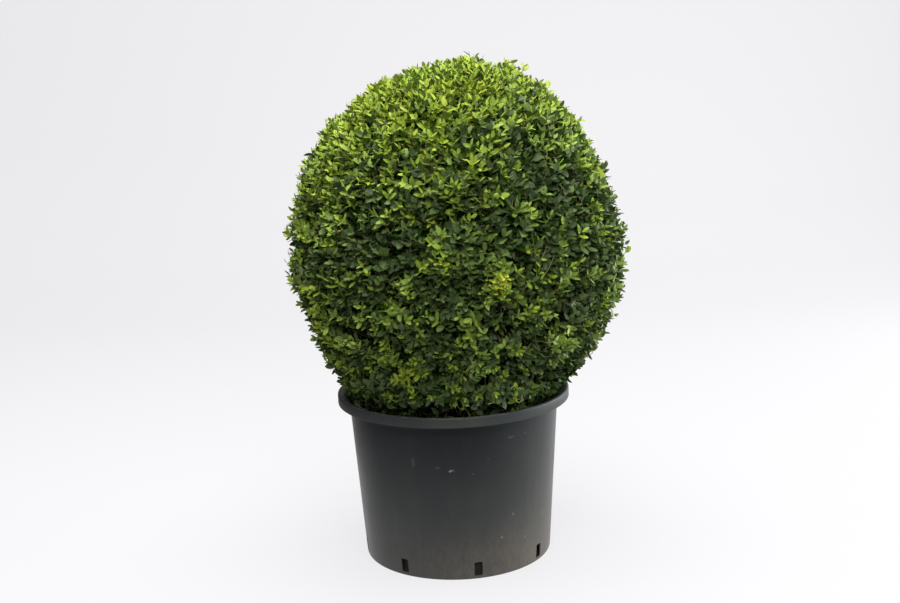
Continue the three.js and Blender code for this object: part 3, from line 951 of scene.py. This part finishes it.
sprays = {
    "base": 0.22,
    "topLift": (1.0, 1.15, -0.14),  # how much younger it is at the top, how fast, and the least
    "leftLift": 0.18,
    "patch": (0.3, 3.1, 7.3),  # how much it varies in patches, and their two scales
    "twigVary": 0.22,
    "shootVary": 0.5,
    "lowVary": 0.75,  # how much more the sprays differ low down
    "skirtAge": 0.75,  # how much older it is just over the pot
    "worstAt": (-33, -50, 15),  # where the leaves over the pot are older still
    "proudFrom": -0.58,  # the lowest that what stands proud is always young
    "outer": (0.3, 0.01),  # how much younger the shoots are that stand out, and from which depth; the deeper ones are darker, partly as painted shade
    "levels": (1.55, 0.7, 0.46, 0.26),  # from the youngest general tone down to mature
    "areas": [  # azimuth, elevation, width in degrees, how much younger or older
        (-54, 30, 27, -0.72), (-73, 21, 14, -0.25), (-117, 19, 20, -0.3), (-66, -6, 20, 0.15),
        (-125, -22, 20, 0.08), (-165, -8, 26, 0.45), (5, 42, 22, 0.12), (-50, -43, 14, -0.5),
        (-134, -26, 11, 0.15), (-105, 39, 10, 0.35), (-88, 9, 13, -0.12),
        # The area at (-90, -60) is made younger and lighter: painted light on the shaded leaves inside the
        # pot's mouth
        (-95, 78, 24, 0.5), (-90, -60, 12, 0.3), (-90, 24, 7, 0.4), (-101, -12, 7, -0.9),
        (-73, -13, 7, 1.0), (-113, -24, 7, 0.4), (-82, -24, 8, -0.35), (-121, 24, 8, -0.3),
        (-125, 6, 9, -0.3),
    ],
    "tufts": [  # azimuth, elevation, width in degrees, tone: sprays that stand out
        (-87, 7, 6.0, 4), (-78, -2, 3.2, 0), (-111, -34, 3.0, 1),
        (-112, -12, 2.2, 2), (-104, -20, 2.0, 2),
        (-58, -8, 2.6, 2), (-63, -13, 2.2, 2), (-88, 15, 2.2, 3), (14, 66, 6.0, 1),
        (-103, 9, 2.0, 2), (-90, 22, 1.6, 2), (-97, 8, 1.6, 2), (-89, 4, 1.4, 3),
        (-90, -33, 1.6, 1),
    ],
}


def sprayTones(rng, ways, host, twigWays, depth):
    # A tone for each shoot, by its place in leafTones.
    most, slope, lowest = sprays["topLift"]
    score = most * np.clip(twigWays[:, 2] * slope, lowest, 1)
    score -= sprays["leftLift"] * twigWays[:, 0]
    score -= swellRound(twigWays, *ball["skirt"], sprays["skirtAge"])
    score = withSwells(score, twigWays, sprays["areas"])
    vary = 1 + sprays["lowVary"] * np.clip(-twigWays[:, 2], 0, 1)
    score += rng.normal(0, sprays["twigVary"], len(twigWays)) * vary
    share, *scales = sprays["patch"]
    score += share * lumpsOver(twigWays, *scales) + sprays["base"]
    each = score[host] + rng.normal(0, sprays["shootVary"], len(ways)) * vary[host]
    share, level = sprays["outer"]
    # Shoots that lie deep get darker tones, partly as painted shade
    each += share * np.clip((level - depth) / level, -1, 1)
    tone = youngest + np.searchsorted(-np.array(sprays["levels"]), -each)
    proud = (depth < 0) & (ways[:, 2] > sprays["proudFrom"])
    tone[proud] = np.minimum(tone[proud], firstOld - 1)  # what stands proud is this year's growth
    for *place, level in sprays["tufts"]:
        tone[within(ways, *place)] = level
    return tone


# Leaves

leafShape = {
    "near": ((0, 0.2, 0.48, 0.78, 1), (0, 0.8, 1, 0.72, 0)),  # places along the leaf, and widths there
    "deep": ((0, 0.32, 0.76, 1), (0, 0.95, 0.75, 0)),
    "youngWidth": (0.41, 0.53),  # as a share of the length
    "oldWidth": (0.47, 0.62),
    "fold": (-0.22, 0.3),
    "droop": (0.02, 0.2),
    "clipped": 1.05,
    "youngSize": 1.03,
    "oldSize": 1.2,
    "finer": [  # azimuth, elevation, how much smaller the leaves are on that side
        (-50, -35, 0.2), (-130, -30, 0.18), (-110, 50, -0.08), (-62, 12, -0.14),
    ],
    "pairs": [  # place from the tip, length, and splay in degrees
        (0.0015, 0.014, 33), (0.009, 0.0195, 45), (0.0185, 0.0225, 55), (0.029, 0.023, 62),
        (0.040, 0.022, 67),
    ],
    "allPairs": 0.45,  # share of shoots with all five pairs; the rest have four, and deep ones three
    "deepFrom": 0.02,  # from this depth on leaves are simpler
    "vary": (0.25, 9, 0.38),  # turn, splay in degrees, and which way the leaf faces
    "lengths": (0.82, 1.12),
    "lost": 0.05,
    "facesOut": 0.15,
    "rise": (0.22, 0.55),  # how level the leaves lie: everywhere, and more so near the top
    "olderFrom": (3, 0.022),  # the pair down a young shoot, and the depth from which leaves are a tone darker, partly as painted shade
    "olderShare": 0.1,
    "mostJoined": 16000,
}


def leafTemplate(rows, widths):
    # One flat leaf of unit length along +Y, its ends welded to points.
    bm = bmesh.new()
    bmesh.ops.create_grid(bm, x_segments=2, y_segments=len(rows) - 1, size=1)
    for vert in bm.verts:
        row = round((vert.co.y + 1) / 2 * (len(rows) - 1))
        side = round(vert.co.x)
        vert.co = (side * widths[row] / 2, rows[row], 0)
    bmesh.ops.remove_doubles(bm, verts=bm.verts, dist=1e-5)
    bmesh.ops.triangulate(bm, faces=bm.faces)
    bmesh.ops.recalc_face_normals(bm, faces=bm.faces)
    if sum(face.normal.z for face in bm.faces) < 0:
        bmesh.ops.reverse_faces(bm, faces=bm.faces)
    points = np.array([vert.co for vert in bm.verts])
    triangles = np.array([[vert.index for vert in face.verts] for face in bm.faces])
    bm.free()
    return points, triangles


def placeLeaves(rng, ways, tips, heading, scale, depth):
    # Pairs of leaves down each shoot, each pair turned a quarter from the one above.
    first = sideways(heading)
    second = np.cross(heading, first)
    count = len(tips)
    turn = rng.uniform(0, math.pi, count)
    least, more = leafShape["rise"]
    level = np.array([[0, 0, 1]]) * (least + more * np.clip(ways[:, 2:3], 0, 1))
    pairs = np.where(depth > leafShape["deepFrom"], 3,
                     np.where(rng.random(count) < leafShape["allPairs"], 5, 4))
    turnVary, splayVary, faceVary = leafShape["vary"]
    most = leafShape["clipped"]
    rows = []
    for pair, (place, long, splayed) in enumerate(leafShape["pairs"]):
        for side in range(2):
            angle = turn + (pair / 2 + side) * math.pi + rng.uniform(-turnVary, turnVary, count)
            out = first * np.cos(angle)[:, None] + second * np.sin(angle)[:, None]
            splay = np.radians(splayed + rng.normal(0, splayVary, count))[:, None]
            way = unit(heading * np.cos(splay) + out * np.sin(splay))
            root = tips - heading * place * scale[:, None]
            light = heading + facing(ways) * leafShape["facesOut"] + level
            light = light + rng.normal(0, faceVary, tips.shape)
            normal = unit(light - dot(light, way) * way)
            length = long * scale * rng.uniform(*leafShape["lengths"], count)
            there = (pairs > pair) & (rng.random(count) > leafShape["lost"])
            ok = there & hasRoom(root + way * length[:, None], most) & hasRoom(root, most)
            index = np.nonzero(ok)[0]
            rows.append((index, np.full(len(index), pair), root[ok], way[ok], normal[ok], length[ok]))
    return [np.concatenate(column) for column in zip(*rows)]


def leafMesh(name, rng, shape, widths, root, way, normal, length):
    points, triangles = leafTemplate(*leafShape[shape])
    count = len(root)
    width = rng.uniform(*leafShape[widths], count) * length
    fold = rng.uniform(*leafShape["fold"], count)
    droop = rng.uniform(*leafShape["droop"], count) * length
    x = points[None, :, 0] * width[:, None]
    y = points[None, :, 1] * length[:, None]
    z = np.abs(x) * fold[:, None] - points[None, :, 1] ** 2 * droop[:, None]
    across = np.cross(way, normal)
    placed = root[:, None] + x[..., None] * across[:, None]
    placed += y[..., None] * way[:, None] + z[..., None] * normal[:, None]
    mesh = meshFromCopies(name, placed, triangles)
    tone =np.repeat(rng.random(count), len(points))
    rib = np.tile(np.abs(points[:, 0]) < 1e-4, count)
    for label, values in (("leafTone", tone), ("leafRib", rib)):
        attribute = mesh.attributes.new(label, "FLOAT", "POINT")
        attribute.data.foreach_set("value", values.astype(np.float32))
    return mesh


def makeLeaves(rng, ways, depth, size, tips, heading, tone):
    scale = size * np.where(tone < firstOld, leafShape["youngSize"], leafShape["oldSize"])
    for *place, less in leafShape["finer"]:
        scale *= 1 - less * np.clip(ways @ towards(*place), 0, 1) ** 3
    index, pair, *shapes = placeLeaves(rng, ways, tips, heading, scale, depth)
    fromPair, fromDepth = leafShape["olderFrom"]
    # Leaves deep in the ball are a tone darker: partly age, partly painted shade
    older = (pair >= fromPair) * (tone[index] < firstOld) * 1 + (depth[index] > fromDepth)
    older += rng.random(len(index)) < leafShape["olderShare"]
    older += within(ways, *sprays["worstAt"])[index] & (pair % 2 == 1)
    leafTone = np.where(tone[index] == 0, 0, np.clip(tone[index] + older, youngest, len(toneNames) - 1))
    for level, name in enumerate(toneNames):
        material = leafMaterial(name)
        widths = "youngWidth" if youngest <= level < firstOld else "oldWidth"
        rows = np.nonzero(leafTone == level)[0]
        deep = depth[index[rows]] > leafShape["deepFrom"]
        for shape, some in (("near", rows[~deep]), ("deep", rows[deep])):
            parts = math.ceil(len(some) / leafShape["mostJoined"])
            for part, chosen in enumerate(np.array_split(some, parts) if parts else []):
                label = f"{name}Leaves{shape.capitalize()}{part + 1}"
                mesh = leafMesh(label, rng, shape, widths, *[column[chosen] for column in shapes])
                pieceFrom(mesh, material, "foliage")
    return len(index)


def makeFoliage(bark):
    rng = np.random.default_rng(growth["seed"])
    limbs, boughs, twigs, twigWays = growWood(rng)
    twigBark = speckledMaterial("twigBark")
    rodPiece("limbs", limbs, bark, *wood["limbRod"])
    rodPiece("boughs", boughs, bark, *wood["boughRod"])
    rodPiece("twigs", twigs, twigBark, *wood["twigRod"])
    print("wood grown:", len(limbs), "limbs,", len(boughs), "boughs,", len(twigs), "twigs")

    ways, host, depth, size, tips, start, heading = growShoots(rng, twigs, twigWays)
    tone = sprayTones(rng, ways, host, twigWays, depth)
    knees = tips - heading * growth["straightEnd"]
    paths = np.stack([start, knees * 0.8 + start * 0.2, (knees + tips) / 2, tips], axis=1)
    green = tone < firstOld
    rodPiece("shootsYoung", paths[green], speckledMaterial("shootGreen"), *growth["rod"])
    rodPiece("shootsOld", paths[~green], twigBark, *growth["rod"])
    leaves = makeLeaves(rng, ways, depth, size, tips, heading, tone)
    print("foliage grown:", len(tips), "shoots,", leaves, "leaves")


boxBark = speckledMaterial("boxBark")
makeStem(boxBark)
makeFoliage(boxBark)


# Bare thin stems that lie over the leaves

wisps = {
    "seed": 7,
    "loose": 34,
    "starts": (-40, 35),  # elevations in degrees
    "climb": (3, 7),
    "drift": 2.5,
    "depths": (0.012, -0.004, -0.002),  # root, bow and tip, under the clipped surface
    "rod": (0.0008, 0.0004, 4),
    "placed": [  # azimuth, elevation, climb, drift in degrees
        (-64.5, -4, 19, -2.5), (-65.5, 4, 7, -3.5), (-64.5, 1, 6, 2.5), (-62.5, -3, 7, 3), (-105, 7, 5, 1),
        (-73, -9, 5, 4), (-107, -8, 7, -3), (-45, -14, 6, 2),
    ],
}


def makeWisps():
    rng = np.random.default_rng(wisps["seed"])
    loose = [(rng.uniform(-180, 180), rng.uniform(*wisps["starts"]), rng.uniform(*wisps["climb"]),
              rng.normal(0, wisps["drift"])) for _ in range(wisps["loose"])]
    rows = wisps["placed"] + loose
    root, bow, tip = (onBall(np.array([towards(azimuth + drift * share, elevation + climb * share)
                                       for azimuth, elevation, climb, drift in rows]), 1, depth)
                      for share, depth in zip((0, 0.5, 1), wisps["depths"]))
    paths = bent(root, bow, tip, 6)
    rodPiece("wisps", paths, speckledMaterial("looseStem"), *wisps["rod"])
    print("bare stems laid:", len(paths))


makeWisps()


# The dark twiggy middle behind the leaves: a near-black sheet, painted shade among the twigs

denseInside = {
    "share": 0.77,
    "lump": 0.05,
    "lumpScales": (9, 24),
    "floor": 0.342,
}


def makeDenseInside():
    bm = bmesh.new()
    bmesh.ops.create_icosphere(bm, subdivisions=5, radius=1)
    ways = unit(np.array([vert.co for vert in bm.verts]))
    lump = lumpsOver(ways, *denseInside["lumpScales"])
    places = onBall(ways, denseInside["share"] + denseInside["lump"] * lump)
    for vert, place in zip(bm.verts, places):
        vert.co = place
        vert.co.z = max(vert.co.z, denseInside["floor"])
    pieceFrom(meshFromBmesh("denseInside", bm), speckledMaterial("innerShade"), "foliage")


makeDenseInside()
print("middle ready")
